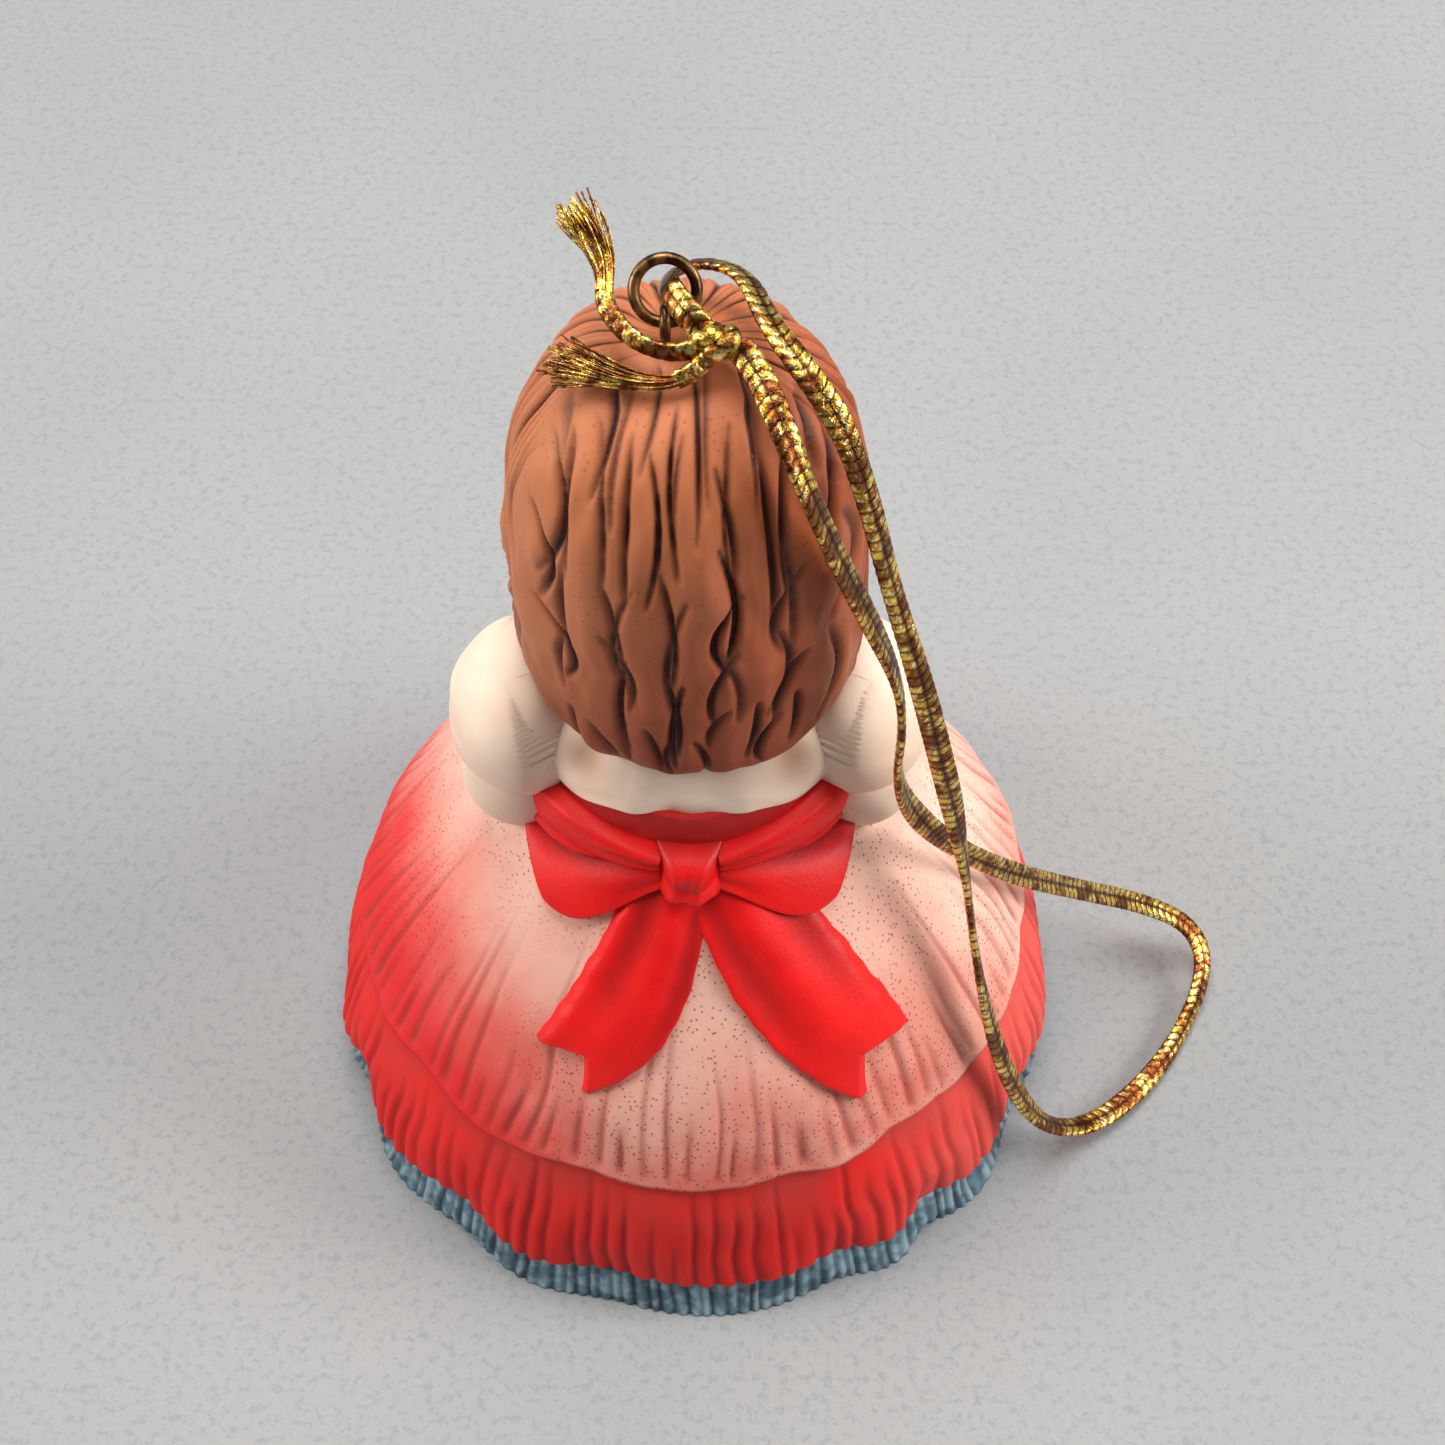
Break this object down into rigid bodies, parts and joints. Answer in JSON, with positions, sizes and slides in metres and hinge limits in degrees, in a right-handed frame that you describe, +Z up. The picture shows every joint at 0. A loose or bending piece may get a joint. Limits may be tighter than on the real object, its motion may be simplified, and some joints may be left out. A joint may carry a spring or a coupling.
{
  "type": "christmas bell ornament",
  "caption": "Hanging porcelain bell shaped as a girl in a tiered ruffled dress with a sash and bow, with a wired clapper inside and a gold cord on a ring.",
  "frame": {"origin": "centre of the base rim, on the surface that the bell stands on", "axes": "+Z up through the crown, the face looks toward -Y, the figure's left arm is toward +X"},
  "size_m": [0.0806, 0.0652, 0.0905],
  "materials": {
    "bisque_pink": "matte bisque porcelain, airbrushed pale pink with red speckle",
    "bisque_red": "matte bisque porcelain, painted coral red",
    "bisque_blue": "matte bisque porcelain, painted slate blue",
    "bisque_cream": "matte bisque porcelain, warm white with a peach blush",
    "bisque_brown": "matte bisque porcelain, red-brown with dark wash in the carving",
    "bisque_skin": "matte bisque porcelain, pale skin tone",
    "bow_red": "satin painted porcelain, deep red",
    "bead_white": "unpainted bisque",
    "plaster": "dry plaster",
    "bronze_wire": "darkened brass wire",
    "gold_braid": "metallic gold braid"
  },
  "bodies": {
    "figure": {"petticoat_frill": "bisque_blue", "red_flounce": "bisque_red", "overskirt": "bisque_pink", "sash_band": "bow_red", "bodice": "bisque_cream", "collar": "bisque_cream", "head": "bisque_skin", "hair": "bisque_brown", "hair_fringe": "bisque_brown", "bow_knot": "bow_red", "bow_loop_left": "bow_red", "bow_loop_right": "bow_red", "bow_tail_left": "bow_red", "bow_tail_right": "bow_red", "puff_sleeve_left": "bisque_cream", "lower_sleeve_left": "bisque_cream", "cuff_left": "bisque_cream", "hand_left": "bisque_skin", "puff_sleeve_right": "bisque_cream", "lower_sleeve_right": "bisque_cream", "cuff_right": "bisque_cream", "hand_right": "bisque_skin", "hanger_wire": "bronze_wire", "crown_plug": "plaster", "gold_cord": "gold_braid", "cord_knot": "gold_braid", "cord_end_upper": "gold_braid", "cord_end_lower": "gold_braid"},
    "ring": {"hanging_ring": "bronze_wire"},
    "clapper_wire": {"clapper_link": "bronze_wire"},
    "clapper": {"bead_wire": "bronze_wire", "clapper_bead": "bead_white"}
  },
  "joints": [
    {"name": "ring_tilt", "type": "hinge", "parent": "figure", "child": "ring", "pos_m": [0.0012, 0, 0.085], "axis": [1, 0, 0], "range_deg": [-30, 4]},
    {"name": "clapper_swing", "type": "hinge", "parent": "figure", "child": "clapper_wire", "pos_m": [0.0012, 0, 0.036], "axis": [1, 0, 0], "range_deg": [-51, 51]},
    {"name": "bead_swing", "type": "hinge", "parent": "clapper_wire", "child": "clapper", "pos_m": [0.0012, 0, 0.019], "axis": [0, 1, 0], "range_deg": [-60, 60]}
  ]
}
